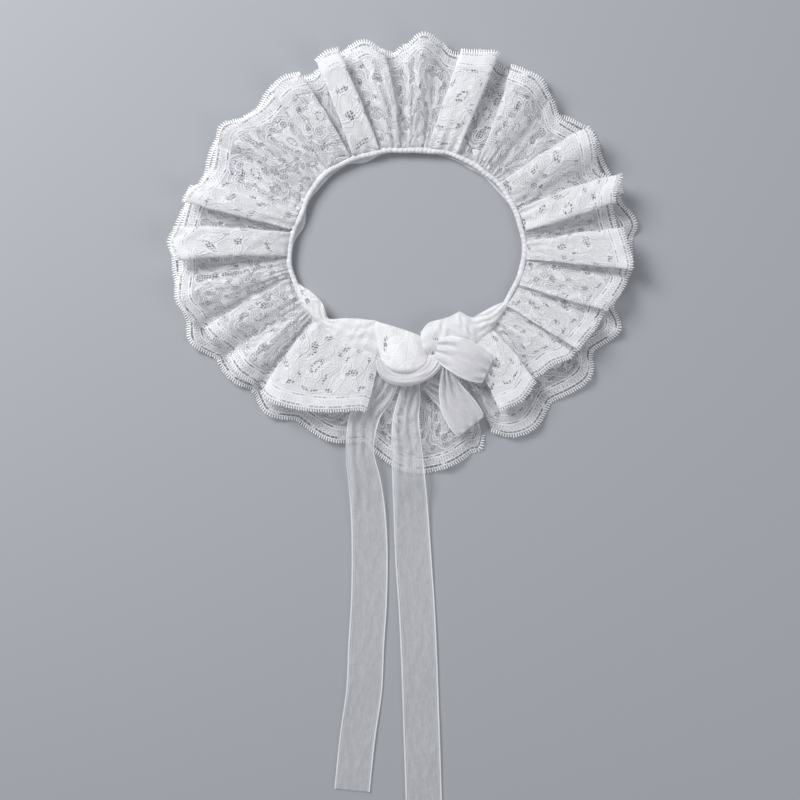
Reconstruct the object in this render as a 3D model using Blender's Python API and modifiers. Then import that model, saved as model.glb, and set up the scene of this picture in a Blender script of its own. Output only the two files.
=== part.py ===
"""Ruff collar: two gathered tiers of scalloped lace on a narrow neck band, laid flat.

The band is a ring that is open at the front, where organza ribbon ties it in a bow with two
long tails. Every piece of cloth is a thin wall. The surface the collar lies on is z = 0, the
front of the collar points to -Y and the origin is under the middle of the whole outline.
Angles are in degrees round the neck from the front, anticlockwise as seen from above. Lengths
are in millimetres, up to the last step, which turns them into metres.
"""

import math
from collections import namedtuple

import bmesh
import bpy
import numpy as np

MM = 0.001

RING_CENTRE = (4.0, 100.3)  # the neck's centre, measured from the middle of the outline
WALL = 1.2  # thickness of a cloth wall
SEAM_GAP = 0.3
BAND_WIDTH = 3.6
BAND_HEIGHT = 3.2
BAND_LIFT = 1.5  # underside of the band, over the heading that lies beneath it
BAND_ENDS = (9.0, 363.0)

UPPER_ENDS = (30.0, 345.0)
UPPER_SEAM_Z = 4.0
UPPER_FLOOR_Z = 5.8  # the upper tier's troughs ride over the lower tier's crests
LOWER_ENDS = (24.5, 381.5)
LOWER_SEAM_Z = 2.1
LOWER_FLOOR_Z = WALL / 2
TIER_ROWS = (0.0, 0.14, 0.36, 0.66, 1.0)  # share of the way from the seam to the edge

RIBBON_WIDTH = 21.0
KNOT_CENTRE = (0.8, -66.8, 14.6)
KNOT_CAGE = (48.0, 30.0, 14.6)

# The neck band's centre line.
BandPoint = namedtuple("BandPoint", "angle radius")
BAND_LINE = [
    BandPoint(0, 57.4), BandPoint(20, 58.5), BandPoint(45, 60.4), BandPoint(64, 63.6),
    BandPoint(84, 65.8), BandPoint(104, 65.6), BandPoint(125, 63.6), BandPoint(152, 60.6),
    BandPoint(177, 57.8), BandPoint(200, 59.4), BandPoint(217, 63.4), BandPoint(235, 66.2),
    BandPoint(255, 66.8), BandPoint(266, 68.8), BandPoint(277, 70.2), BandPoint(290, 69.0),
    BandPoint(302, 66.2), BandPoint(314, 62.8), BandPoint(330, 59.2), BandPoint(345, 57.6),
]

# One row for each pleat of the upper tier. The two sides of a pleat's top are given at the
# seam and at the edge. rise is its height at the edge. A side is tucked back under the top by
# its tuck. The reaches are radii of the scalloped edge at the pleat's start, middle and end,
# and in the trough that follows it.
Pleat = namedtuple(
    "Pleat",
    "seam_start seam_end edge_start edge_end rise tuck_start tuck_end"
    " reach_start reach_middle reach_end reach_trough",
)
UPPER_PLEATS = [
    Pleat(31, 46, 30, 43.5, 6.0, 0.0, 2.5, 107, 109, 106, 104),
    Pleat(50, 58, 46, 57.5, 6.0, 1.5, 2.0, 105, 107, 112, 113),
    Pleat(60, 70.5, 59, 69.5, 7.0, 2.0, 1.5, 113, 115, 117, 118),
    Pleat(72, 82, 72.5, 82.5, 7.0, 2.0, 1.5, 119, 123, 126, 125),
    Pleat(85, 94, 84.5, 95.5, 9.5, 3.0, 3.0, 128, 126, 123, 120),
    Pleat(99, 110, 102.5, 109.6, 11.5, 3.5, 4.0, 121, 123, 128, 120),
    Pleat(113, 127, 114.5, 124.5, 9.5, 1.5, 3.5, 120, 122, 124, 117),
    Pleat(134, 142, 136.5, 151, 9.0, 1.5, 3.5, 120, 123, 121, 117),
    Pleat(154, 170, 155.5, 165.5, 11.0, 4.0, 4.0, 123, 120, 118, 117),
    Pleat(173, 182, 171, 182, 6.5, 1.5, 1.5, 121, 126, 118, 114.5),
    Pleat(185.5, 196, 187.5, 197.5, 7.5, 2.5, 0.8, 116, 123, 122, 121),
    Pleat(197.5, 211, 199.5, 206.8, 11.0, 0.8, 4.0, 121, 123, 121, 116),
    Pleat(213, 226, 212, 221.5, 9.0, 2.5, 3.0, 120, 123, 122, 120),
    Pleat(231, 243, 231.5, 242, 8.0, 1.5, 1.5, 123, 130, 128, 126),
    Pleat(252, 260, 252.5, 258.3, 11.0, 1.5, 3.0, 128, 132, 134, 134),
    Pleat(262, 273, 265, 273, 12.0, 4.0, 3.5, 137, 140, 136, 135),
    Pleat(276, 282, 276.5, 289, 8.0, 1.5, 1.5, 137, 139, 134, 129),
    Pleat(284, 295, 291, 298.5, 7.0, 2.0, 1.0, 128, 126, 122, 121),
    Pleat(297, 303, 300.5, 311, 6.5, 1.0, 1.5, 123, 123, 120, 118),
    Pleat(306, 344, 314, 345, 8.2, 2.5, 0.0, 117, 110, 98, 98),
]

# One row for each broad wave of the lower tier: the angles of its crest and of the resting
# trough after it, its height, and the radii of the scalloped edge there.
Wave = namedtuple("Wave", "crest trough rise reach_crest reach_trough")
LOWER_WAVES = [
    Wave(35, 43, 3.0, 127, 122), Wave(54, 61, 2.6, 129, 123), Wave(69, 75, 3.0, 131, 124),
    Wave(84, 92, 2.8, 129, 130), Wave(97, 104, 2.6, 133, 127), Wave(114, 122, 2.8, 124, 127),
    Wave(128, 134, 2.6, 122, 118), Wave(143, 152, 3.0, 126, 120), Wave(160, 167, 2.8, 120, 119),
    Wave(175, 184, 3.0, 123, 116), Wave(196, 209, 2.8, 122, 118), Wave(219, 228, 3.0, 125, 122),
    Wave(240, 251, 3.0, 130, 128), Wave(262, 270, 2.8, 136, 139), Wave(280, 287, 3.0, 138, 137),
    Wave(293, 300, 3.0, 139, 130), Wave(306, 312, 2.6, 129, 124), Wave(319, 327, 3.0, 127, 120),
    Wave(337, 346, 2.8, 121, 116), Wave(357, 364, 2.4, 128, 130), Wave(371, 378, 2.4, 128, 124),
]

# The gathered heading inside the seam: how far it stands inside the band's centre line.
HeadingPoint = namedtuple("HeadingPoint", "angle depth")
FRONT_HEADING = [
    HeadingPoint(303, 4.0), HeadingPoint(307, 2.6), HeadingPoint(311, 1.6),
    HeadingPoint(316, 7.0), HeadingPoint(324, 10.6), HeadingPoint(331, 12.4),
    HeadingPoint(343, 11.8), HeadingPoint(353, 10.4), HeadingPoint(361, 8.4),
    HeadingPoint(366, 8.4), HeadingPoint(370, 12.0), HeadingPoint(376, 14.2),
    HeadingPoint(387, 14.6), HeadingPoint(397, 13.4), HeadingPoint(401, 8.4),
    HeadingPoint(407, 6.4), HeadingPoint(413, 4.4),
]
BACK_HEADING = [
    HeadingPoint(52, 1.2), HeadingPoint(100, 1.4), HeadingPoint(146, 2.8),
    HeadingPoint(168, 1.4), HeadingPoint(196, 1.6), HeadingPoint(206, 3.6),
    HeadingPoint(218, 1.6), HeadingPoint(236, 2.8), HeadingPoint(248, 1.4),
    HeadingPoint(258, 4.0), HeadingPoint(268, 1.4), HeadingPoint(284, 1.6),
    HeadingPoint(293, 4.6), HeadingPoint(300, 4.0),
]

# Rows along the ribbon: the middle of the ribbon, its height and its roll about its length.
TailRow = namedtuple("TailRow", "x y z roll")
LEFT_TAIL = [
    TailRow(-13.0, -76.5, 6.6, 46), TailRow(-17.0, -83.5, 6.4, 44), TailRow(-26.0, -96.0, 6.2, 40),
    TailRow(-29.0, -116.0, 5.9, 34), TailRow(-26.3, -134.0, 4.0, 24), TailRow(-24.4, -151.0, 1.5, 6),
    TailRow(-23.4, -174.0, 0.6, 0), TailRow(-23.8, -203.0, 0.6, 0), TailRow(-25.4, -229.0, 0.6, 0),
    TailRow(-26.6, -255.0, 0.6, 0), TailRow(-30.4, -282.0, 0.6, 0), TailRow(-33.6, -313.0, 0.6, 0),
]
RIGHT_TAIL = [
    TailRow(0.6, -77.0, 6.8, 52), TailRow(-0.4, -86.0, 6.6, 46), TailRow(-2.4, -98.0, 6.2, 36),
    TailRow(-2.0, -114.0, 5.9, 28), TailRow(-0.8, -132.0, 5.2, 18), TailRow(0.4, -150.0, 1.8, 6),
    TailRow(2.0, -180.0, 0.6, 0), TailRow(3.8, -206.0, 0.6, 0), TailRow(5.4, -240.0, 0.6, 0),
    TailRow(6.4, -270.0, 0.6, 0), TailRow(7.4, -300.0, 0.6, 0), TailRow(8.2, -326.0, 0.6, 0),
]

# A bow loop runs out along its length and back over itself.
LoopRow = namedtuple("LoopRow", "along z half_width")
DROP_LOOP = [
    LoopRow(0.0, 6.9, 4.5), LoopRow(9.0, 6.5, 7.0), LoopRow(19.0, 6.3, 9.6), LoopRow(27.5, 6.6, 10.4),
    LoopRow(31.5, 7.6, 9.4), LoopRow(32.3, 9.0, 8.6), LoopRow(30.0, 10.3, 9.2), LoopRow(22.0, 10.7, 9.6),
    LoopRow(12.0, 10.5, 7.8), LoopRow(4.0, 10.0, 5.4),
]
DROP_START, DROP_END = (19.5, -72.5), (30.0, -101.5)
WIDE_LOOP = [
    LoopRow(0.0, 13.8, 6.5), LoopRow(8.0, 13.4, 9.0), LoopRow(16.0, 13.2, 10.6),
    LoopRow(21.5, 13.8, 10.6), LoopRow(24.0, 15.6, 10.0), LoopRow(21.0, 17.6, 10.2),
    LoopRow(12.0, 18.4, 9.6), LoopRow(4.0, 18.0, 7.4),
]
WIDE_START, WIDE_END = (26.0, -62.5), (50.0, -66.5)


def column(rows, name):
    return np.array([getattr(row, name) for row in rows], float)


def smooth_rows(rows, names, per_row):
    """The named columns read between the rows, along a curve through all of them.

    Between two rows the value is a cubic whose slope at each row is half the difference of the
    rows either side of it.
    """
    values = np.stack([column(rows, name) for name in names], axis=1)
    slopes = np.gradient(values, axis=0)
    steps = np.linspace(0, len(rows) - 1, (len(rows) - 1) * per_row + 1)
    start = np.minimum(steps.astype(int), len(rows) - 2)
    t = (steps - start)[:, None]
    return (
        values[start] * (1 + 2 * t) * (1 - t) ** 2
        + slopes[start] * t * (1 - t) ** 2
        + values[start + 1] * t * t * (3 - 2 * t)
        - slopes[start + 1] * t * t * (1 - t)
    )


def band_radius(angles):
    return np.interp(
        angles, column(BAND_LINE, "angle"), column(BAND_LINE, "radius"), period=360
    )


def round_neck(angles, radii, heights):
    """Points at these angles and radii from the neck's centre."""
    turn = np.radians(angles)
    return np.stack(
        [
            RING_CENTRE[0] + radii * np.sin(turn),
            RING_CENTRE[1] - radii * np.cos(turn),
            np.broadcast_to(heights, turn.shape),
        ],
        axis=-1,
    )


def material(name, colour, roughness):
    made = bpy.data.materials.new(name)
    made.use_nodes = True
    shader = made.node_tree.nodes["Principled BSDF"]
    shader.inputs["Base Color"].default_value = (*colour, 1.0)
    shader.inputs["Roughness"].default_value = roughness
    shader.inputs["Metallic"].default_value = 0.0
    return made


def cloth(name, points, look, thickness=WALL):
    """A wall of cloth on a grid of points, rows by columns, facing up."""
    rows, columns = points.shape[:2]
    index = np.arange(rows * columns).reshape(rows, columns)
    corners = [index[:-1, :-1], index[:-1, 1:], index[1:, 1:], index[1:, :-1]]
    mesh = bpy.data.meshes.new(name)
    mesh.from_pydata(
        (points.reshape(-1, 3) * MM).tolist(),
        [],
        np.stack(corners, axis=-1).reshape(-1, 4).tolist(),
    )
    mesh.materials.append(look)
    made = bpy.data.objects.new(name, mesh)
    collection.objects.link(made)
    wall = made.modifiers.new("wall", "SOLIDIFY")
    wall.thickness = thickness * MM
    wall.offset = 0.0
    return made


def tier_grid(columns, ends, seam_z, floor_z):
    """Rows by columns of points from the seam to the scalloped edge.

    Each column is (angle at the seam, angle at the edge, wave, rise, reach), where wave is the
    share of the rise there. The rise grows from a tenth at the seam to all of it at the edge.
    """
    seam_angle, edge_angle, wave, rise, reach = np.array(columns, float).T
    grid = []
    for out in TIER_ROWS:
        angles = np.clip(seam_angle + (edge_angle - seam_angle) * out, *ends)
        seam = band_radius(angles) + BAND_WIDTH / 2 + SEAM_GAP + 0.5
        floor = seam_z + (floor_z - seam_z) * min(1.0, out / 0.3)
        height = floor + rise * wave * (0.1 + 0.9 * out**0.6)
        grid.append(round_neck(angles, seam + (reach - seam) * out, height))
    return np.array(grid)


def upper_columns():
    """Eight columns to a pleat: a side tucked under, its fold and the top, then the same back."""
    made = []
    for number, pleat in enumerate(UPPER_PLEATS):
        seam_middle = (pleat.seam_start + pleat.seam_end) / 2
        edge_middle = (pleat.edge_start + pleat.edge_end) / 2
        first, last = number == 0, number == len(UPPER_PLEATS) - 1
        tuck_start = math.degrees(pleat.tuck_start / pleat.reach_start)
        tuck_end = math.degrees(pleat.tuck_end / pleat.reach_end)
        lip = 0.12 * (pleat.edge_end - pleat.edge_start)
        if not first:
            made.append((pleat.seam_start + 0.6, pleat.edge_start + tuck_start, 0.12,
                         pleat.rise, pleat.reach_start - 0.5))
        made.append((pleat.seam_start, pleat.edge_start, 0.75, pleat.rise, pleat.reach_start))
        made.append((pleat.seam_start + lip, pleat.edge_start + lip, 1.0,
                     pleat.rise, pleat.reach_start + 0.5))
        made.append((seam_middle, edge_middle, 1.0, pleat.rise, pleat.reach_middle))
        made.append((pleat.seam_end - lip, pleat.edge_end - lip, 1.0,
                     pleat.rise, pleat.reach_end + 0.5))
        made.append((pleat.seam_end, pleat.edge_end, 0.9 if last else 0.75,
                     pleat.rise, pleat.reach_end))
        if last:
            break
        made.append((pleat.seam_end - 0.6, pleat.edge_end - tuck_end, 0.12,
                     pleat.rise, pleat.reach_end - 0.5))
        following = UPPER_PLEATS[number + 1]
        made.append(((pleat.seam_end + following.seam_start) / 2,
                     (pleat.edge_end + following.edge_start) / 2, 0.0,
                     pleat.rise, pleat.reach_trough))
    return made


def lower_columns():
    """A raised cosine from trough to crest, with each trough resting flat."""
    made = [(LOWER_ENDS[0], LOWER_ENDS[0], 0.0, 3.0, 116), (29.0, 28.5, 0.35, 3.0, 124)]
    for wave in LOWER_WAVES:
        made.append((wave.crest, wave.crest, 1.0, wave.rise, wave.reach_crest))
        between = (wave.crest + wave.trough) / 2
        made.append((between, between, 0.5, wave.rise, (wave.reach_crest + wave.reach_trough) / 2))
        for side in (-1.2, 0.0, 1.2):
            made.append((wave.trough + side, wave.trough + side, 0.0, wave.rise, wave.reach_trough))
    for wave, following in zip(LOWER_WAVES, LOWER_WAVES[1:]):
        between = (wave.trough + following.crest) / 2
        made.append((between, between, 0.5, following.rise,
                     (wave.reach_trough + following.reach_crest) / 2))
    made.append((LOWER_ENDS[1], LOWER_ENDS[1], 0.0, 2.4, 117))
    return sorted(made)


def heading_grid(rows, outer, heights, ruffle):
    """A strip from the band towards the neck, between angles read every two degrees or so."""
    angles = np.linspace(rows[0].angle, rows[-1].angle,
                         int((rows[-1].angle - rows[0].angle) / 3.2) + 1)
    depth = np.interp(angles, column(rows, "angle"), column(rows, "depth"))
    radius = band_radius(angles)
    fold = ruffle * np.sin(np.arange(len(angles)) * math.pi / 2)
    inner_points = round_neck(angles, radius - depth, heights[0] + fold)
    middle_points = round_neck(angles, radius + (outer - depth) / 2, sum(heights) / 2 + fold / 2)
    outer_points = round_neck(angles, radius + outer, heights[1])
    return np.array([inner_points, middle_points, outer_points])


def ribbon_grid(middles, across):
    """Points across a ribbon: each row is its middle and a vector to its right-hand edge."""
    share = np.linspace(-1, 1, 3)[None, :, None]
    return middles[:, None, :] + share * across[:, None, :]


def tail(name, rows, look):
    """A ribbon tail, rolled about its own length where it crosses the lace."""
    x, y, z, roll = smooth_rows(rows, ("x", "y", "z", "roll"), 2).T
    z = np.maximum(z, WALL / 2)
    middles = np.stack([x + RING_CENTRE[0], y + RING_CENTRE[1], z], axis=1)
    run = np.gradient(middles, axis=0)
    side = np.stack([-run[:, 1], run[:, 0]], axis=1)
    side /= np.linalg.norm(side, axis=1)[:, None]
    half = RIBBON_WIDTH / 2
    flat = half * np.cos(np.radians(roll))
    # The roll narrows the ribbon as seen from above, and lifts it into a shallow gutter.
    across = np.stack([side[:, 0] * flat, side[:, 1] * flat, np.zeros(len(x))], axis=1)
    grid = ribbon_grid(middles, across)
    grid[:, ::2, 2] += (0.16 * half * np.sin(np.radians(roll)))[:, None]
    return cloth(name, grid, look)


def loop(name, rows, start, end, look):
    """A bow loop: out along its length, round, and back over itself."""
    along, z, half_width = smooth_rows(rows, ("along", "z", "half_width"), 2).T
    begin = np.array(start) + RING_CENTRE
    run = np.subtract(end, start) / np.linalg.norm(np.subtract(end, start))
    side = np.array([-run[1], run[0]])
    middles = np.column_stack([begin + along[:, None] * run, z])
    across = np.column_stack([half_width[:, None] * side, np.zeros(len(z))])
    return cloth(name, ribbon_grid(middles, across), look)


for old in list(bpy.data.objects):
    bpy.data.objects.remove(old)
collection = bpy.data.collections.new("ruff_collar")
bpy.context.scene.collection.children.link(collection)

# Neck band: a narrow bound strip, open at the front.
band_white = material("band_cotton", (0.80, 0.81, 0.84), 0.8)
band_angles = np.linspace(*BAND_ENDS, 84)
band_middle = band_radius(band_angles)
band_z = BAND_LIFT + BAND_HEIGHT / 2
neck_band = cloth(
    "neck_band",
    np.array([
        round_neck(band_angles, band_middle - BAND_WIDTH / 2, band_z),
        round_neck(band_angles, band_middle + BAND_WIDTH / 2, band_z),
    ]),
    band_white,
    BAND_HEIGHT,
)

# The two tiers of lace.
lace_upper_white = material("lace_upper", (0.84, 0.85, 0.88), 0.9)
lace_lower_white = material("lace_lower", (0.78, 0.79, 0.83), 0.9)
lace_upper = cloth(
    "lace_upper",
    tier_grid(upper_columns(), UPPER_ENDS, UPPER_SEAM_Z, UPPER_FLOOR_Z),
    lace_upper_white,
)
lace_lower = cloth(
    "lace_lower",
    tier_grid(lower_columns(), LOWER_ENDS, LOWER_SEAM_Z, LOWER_FLOOR_Z),
    lace_lower_white,
)

# The heading inside the seam: over the band at the front, under it round the back.
heading_white = material("lace_heading", (0.82, 0.83, 0.86), 0.9)
heading_front = cloth(
    "heading_front", heading_grid(FRONT_HEADING, 1.5, (7.4, 6.0), 0.5), heading_white
)
heading_back = cloth(
    "heading_back", heading_grid(BACK_HEADING, 1.4, (WALL / 2, WALL / 2), 0.0), heading_white
)

# Ribbon ties: the tails, the two loops of the bow and the knot over them.
organza = material("organza_ribbon", (0.72, 0.73, 0.77), 0.45)
tail("ribbon_tail_left", LEFT_TAIL, organza)
tail("ribbon_tail_right", RIGHT_TAIL, organza)
loop("ribbon_loop_drop", DROP_LOOP, DROP_START, DROP_END, organza)
loop("ribbon_loop_wide", WIDE_LOOP, WIDE_START, WIDE_END, organza)

knot_mesh = bpy.data.meshes.new("ribbon_knot")
cage = bmesh.new()
bmesh.ops.create_cube(cage, size=1.0)
bmesh.ops.scale(cage, vec=[side * MM for side in KNOT_CAGE], verts=cage.verts)
cage.to_mesh(knot_mesh)
cage.free()
knot_mesh.materials.append(organza)
knot = bpy.data.objects.new("ribbon_knot", knot_mesh)
collection.objects.link(knot)
knot.location = [
    (KNOT_CENTRE[0] + RING_CENTRE[0]) * MM,
    (KNOT_CENTRE[1] + RING_CENTRE[1]) * MM,
    KNOT_CENTRE[2] * MM,
]
rounded = knot.modifiers.new("rounded", "SUBSURF")
rounded.levels = 3
rounded.render_levels = 3
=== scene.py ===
"""Looks of a two-tier lace ruff collar laid flat, with its organza bow and tails.

Lengths in the tables are millimetres and angles are degrees round the neck from the front,
anticlockwise as seen from above. Points are turned into metres as they go into a mesh.
"""

from collections import namedtuple

import bpy
import numpy as np
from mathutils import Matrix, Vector


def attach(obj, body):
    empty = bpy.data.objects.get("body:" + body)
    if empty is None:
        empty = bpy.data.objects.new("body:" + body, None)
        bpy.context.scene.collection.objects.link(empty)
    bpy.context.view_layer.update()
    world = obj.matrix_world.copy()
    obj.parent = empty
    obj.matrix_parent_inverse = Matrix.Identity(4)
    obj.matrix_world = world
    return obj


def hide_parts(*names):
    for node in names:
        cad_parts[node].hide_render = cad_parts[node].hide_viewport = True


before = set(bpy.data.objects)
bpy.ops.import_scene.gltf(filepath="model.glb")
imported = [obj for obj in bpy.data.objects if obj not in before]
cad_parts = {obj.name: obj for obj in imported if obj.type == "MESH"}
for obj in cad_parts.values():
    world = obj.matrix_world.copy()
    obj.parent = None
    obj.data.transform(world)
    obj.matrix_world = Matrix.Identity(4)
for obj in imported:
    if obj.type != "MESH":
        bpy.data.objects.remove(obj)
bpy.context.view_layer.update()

MM = 0.001

# ---------------------------------------------------------------------------------------------
# Neck band. A narrow strip of white cotton folded over the gathered edges of both tiers and
# machine-stitched, so it puckers like a cord. It is a ring left open at the front, where the
# ribbon knot covers its two ends.

RING_CENTRE = (4.0, 100.3)
BAND_HALF_WIDTH = 1.6
BAND_HALF_HEIGHT = 1.9
BAND_MIDDLE_Z = 3.3
BAND_ENDS = (9.0, 363.0)
BAND_MEAN_RADIUS = 62.0
PUCKER_PITCH = 2.7
COTTON_THREAD_PITCH = 0.42
BAND_AROUND = 16
BAND_ALONG = 900

BandPoint = namedtuple("BandPoint", "angle radius")
BAND_LINE = [
    BandPoint(0, 57.4), BandPoint(20, 58.5), BandPoint(45, 60.4), BandPoint(64, 63.6),
    BandPoint(84, 65.8), BandPoint(104, 65.6), BandPoint(125, 63.6), BandPoint(152, 60.6),
    BandPoint(177, 57.8), BandPoint(200, 59.4), BandPoint(217, 63.4), BandPoint(235, 66.2),
    BandPoint(255, 66.8), BandPoint(266, 68.8), BandPoint(277, 70.2), BandPoint(290, 69.0),
    BandPoint(302, 66.2), BandPoint(314, 62.8), BandPoint(330, 59.2), BandPoint(345, 57.6),
    BandPoint(360, 57.4),
]


def column(rows, name):
    return np.array([getattr(row, name) for row in rows], float)


def curve_through(places, values, at):
    """Cubic through the values at the places, read at other places.

    Between two places it is the Hermite cubic whose slopes are those of the chords between the
    neighbours either side. values may have more than one column.
    """
    slopes = np.gradient(values, places, axis=0)
    after = np.clip(np.searchsorted(places, at, side="right"), 1, len(places) - 1)
    before = after - 1
    span = places[after] - places[before]
    t = np.clip((at - places[before]) / span, 0.0, 1.0)
    if np.ndim(values) > 1:
        t, span = t[:, None], span[:, None]
    return (
        values[before] * (1 + 2 * t) * (1 - t) ** 2
        + slopes[before] * span * t * (1 - t) ** 2
        + values[after] * t * t * (3 - 2 * t)
        - slopes[after] * span * t * t * (1 - t)
    )


def band_radius(angles):
    turned = np.mod(angles, 360.0)
    radius = curve_through(column(BAND_LINE, "angle"), column(BAND_LINE, "radius"), turned.ravel())
    return radius.reshape(np.shape(angles))


def round_neck(angles, radii, heights):
    """Points at these angles and radii from the neck's centre."""
    turn = np.radians(angles)
    return np.stack(
        [
            RING_CENTRE[0] + radii * np.sin(turn),
            RING_CENTRE[1] - radii * np.cos(turn),
            heights + 0.0 * turn,
        ],
        axis=-1,
    )


def grid_faces(rows, columns, around=False):
    """Quads of a grid of points; around joins the last column to the first."""
    index = np.arange(rows * columns).reshape(rows, columns)
    if around:
        index = np.concatenate([index, index[:, :1]], axis=1)
    corners = [index[:-1, :-1], index[:-1, 1:], index[1:, 1:], index[1:, :-1]]
    return np.stack(corners, axis=-1).reshape(-1, 4)


def put_piece(name, points, faces, look, cut=None, fields=None):
    """A smooth mesh object of points in millimetres, with its cut place as UV in millimetres."""
    mesh = bpy.data.meshes.new(name)
    mesh.vertices.add(len(points))
    mesh.vertices.foreach_set("co", (points * MM).astype(np.float32).ravel())
    mesh.loops.add(faces.size)
    mesh.loops.foreach_set("vertex_index", faces.astype(np.int32).ravel())
    mesh.polygons.add(len(faces))
    starts = np.arange(len(faces), dtype=np.int32) * faces.shape[1]
    mesh.polygons.foreach_set("loop_start", starts)
    mesh.update(calc_edges=True)
    mesh.validate()
    mesh.shade_smooth()
    if cut is not None:
        layer = mesh.uv_layers.new(name="cut")
        layer.uv.foreach_set("vector", cut[faces.ravel()].astype(np.float32).ravel())
    for field_name, values in (fields or {}).items():
        made = mesh.attributes.new(field_name, "FLOAT_VECTOR", "POINT")
        made.data.foreach_set("vector", values.astype(np.float32).ravel())
    mesh.materials.append(look)
    piece = bpy.data.objects.new(name, mesh)
    bpy.context.scene.collection.objects.link(piece)
    return piece


class Look:
    """A material and short ways to add nodes to it."""

    def __init__(self, name):
        self.material = bpy.data.materials.new(name)
        self.material.use_nodes = True
        self.tree = self.material.node_tree
        self.tree.nodes.clear()

    def node(self, kind, *links, **settings):
        made = self.tree.nodes.new("ShaderNode" + kind)
        for setting, value in settings.items():
            setattr(made, setting, value)
        for place, value in links:
            self.feed(made.inputs[place], value)
        return made

    def feed(self, socket, value):
        if isinstance(value, bpy.types.NodeSocket):
            self.tree.links.new(value, socket)
        else:
            socket.default_value = value

    def math(self, operation, *values, clamp=False):
        made = self.node("Math", operation=operation, use_clamp=clamp)
        for socket, value in zip(made.inputs, values):
            self.feed(socket, value)
        return made.outputs[0]

    def ramp(self, value, low, high):
        """0 below low and 1 above high, or the other way where low is the greater."""
        made = self.node("MapRange", ("Value", value), ("From Min", low), ("From Max", high))
        return made.outputs["Result"]

    def most(self, *values):
        found = values[0]
        for value in values[1:]:
            found = self.math("MAXIMUM", found, value)
        return found

    def both(self, *values):
        found = values[0]
        for value in values[1:]:
            found = self.math("MULTIPLY", found, value)
        return found

    def finish(self, shader):
        self.node("OutputMaterial", ("Surface", shader))
        return self.material


def cotton_look():
    """White cotton: a fine plain weave, a little soiled in patches."""
    look = Look("band_cotton")
    cut = look.node("SeparateXYZ", ("Vector", look.node("UVMap", uv_map="cut").outputs[0]))
    along, around = cut.outputs["X"], cut.outputs["Y"]
    warp = look.math("SINE", look.math("MULTIPLY", along, 2 * np.pi / COTTON_THREAD_PITCH))
    weft = look.math("SINE", look.math("MULTIPLY", around, 2 * np.pi / COTTON_THREAD_PITCH))
    weave = look.math("MULTIPLY", warp, weft)
    dirt = look.node("TexNoise", ("Vector", look.node("TexCoord").outputs["Object"]),
                     ("Scale", 260.0), ("Detail", 3.0))
    tint = look.node("MixRGB", ("Fac", look.ramp(dirt.outputs["Fac"], 0.35, 0.7)),
                     ("Color1", (0.66, 0.66, 0.70, 1)), ("Color2", (0.82, 0.82, 0.85, 1)))
    raised = look.math("MULTIPLY_ADD", weave, 0.25, dirt.outputs["Fac"])
    bump = look.node("Bump", ("Height", raised), ("Strength", 0.5), ("Distance", 0.0003))
    shader = look.node("BsdfPrincipled", ("Base Color", tint.outputs[0]), ("Roughness", 0.8),
                       ("Normal", bump.outputs[0]), ("Sheen Weight", 0.3))
    return look.finish(shader.outputs[0])


def band_points():
    """A rounded strip carried round the neck.

    The cross-section is a squared-off oval. Its width and height swell by a tenth in each
    pucker, and the pucker lines slant across the strip, which makes it look twisted.
    """
    angles = np.linspace(*BAND_ENDS, BAND_ALONG)[:, None]
    turn = np.linspace(0, 2 * np.pi, BAND_AROUND, endpoint=False)[None, :]
    radius = band_radius(angles)
    along = np.radians(angles - BAND_ENDS[0]) * BAND_MEAN_RADIUS
    drift = 0.8 * np.sin(along / 9.0) + 0.6 * np.sin(along / 3.7 + 1.0)
    pucker = np.cos(2 * np.pi * (along + drift) / PUCKER_PITCH + 0.9 * np.cos(turn))
    swell = 1.0 + 0.065 * pucker + 0.05 * np.sin(along / 5.3)
    square = (np.abs(np.cos(turn)) ** 3 + np.abs(np.sin(turn)) ** 3) ** (-1 / 3)
    taper = np.clip(np.minimum(angles - BAND_ENDS[0], BAND_ENDS[1] - angles) / 1.2, 0.05, 1.0)
    across = BAND_HALF_WIDTH * square * np.cos(turn) * swell * taper
    up = BAND_HALF_HEIGHT * square * np.sin(turn) * swell * taper
    wander = 0.35 * np.sin(along / 6.1) + 0.2 * np.sin(along / 2.9 + 2.0)
    points = round_neck(angles + 0 * turn, radius + across + wander, BAND_MIDDLE_Z + up)
    cut = np.stack([along + 0 * turn, np.degrees(turn) / 26.0 + 0 * along], axis=-1)
    return points, cut


cotton = cotton_look()
points, cut = band_points()
neck_band = put_piece(
    "neck_band_cotton", points.reshape(-1, 3),
    grid_faces(BAND_ALONG, BAND_AROUND, around=True)[:, ::-1], cotton, cut.reshape(-1, 2),
)
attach(neck_band, "root")
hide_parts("neck_band")

# ---------------------------------------------------------------------------------------------
# Lace. Both tiers are cut from one white galloon: a hexagonal net with woven flowers and
# leaves, cords laid round them, two rows of openwork along the scalloped edge and a row of
# picots on it. The pattern is worked out on the flat cloth, as a place along the strip and a
# distance in from the scalloped edge.

REPEAT = 46.0
ROSE_INWARD = 26.5
PETALS, PETAL_RING, PETAL_SIZE = 5, 5.2, 3.1
LOBES, LOBE_RING, LOBE_SIZE = 9, 10.2, 3.9
PICOT_PITCH = 1.42
PICOT_REACH = 2.2
PICOT_HALF_WIDTH = 0.14
PICOT_THREAD = 0.32
PICOT_SLANT = 0.40
CRUMPLE = 0.42
VEIN_PITCH = 1.5
BAR_PITCH = 2.7
DASH_RUN = 13.0

BorderRow = namedtuple("BorderRow", "near far")
EDGE_CORD = BorderRow(-1.0, 0.7)
SLOTS = BorderRow(0.7, 1.9)
SLOT_CORD = BorderRow(1.8, 2.4)
DASH_CORD = BorderRow(5.9, 6.6)
DASHES = BorderRow(6.7, 7.5)
INNER_CORD = BorderRow(7.6, 8.2)
FIGURED_FROM = 8.2

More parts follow.
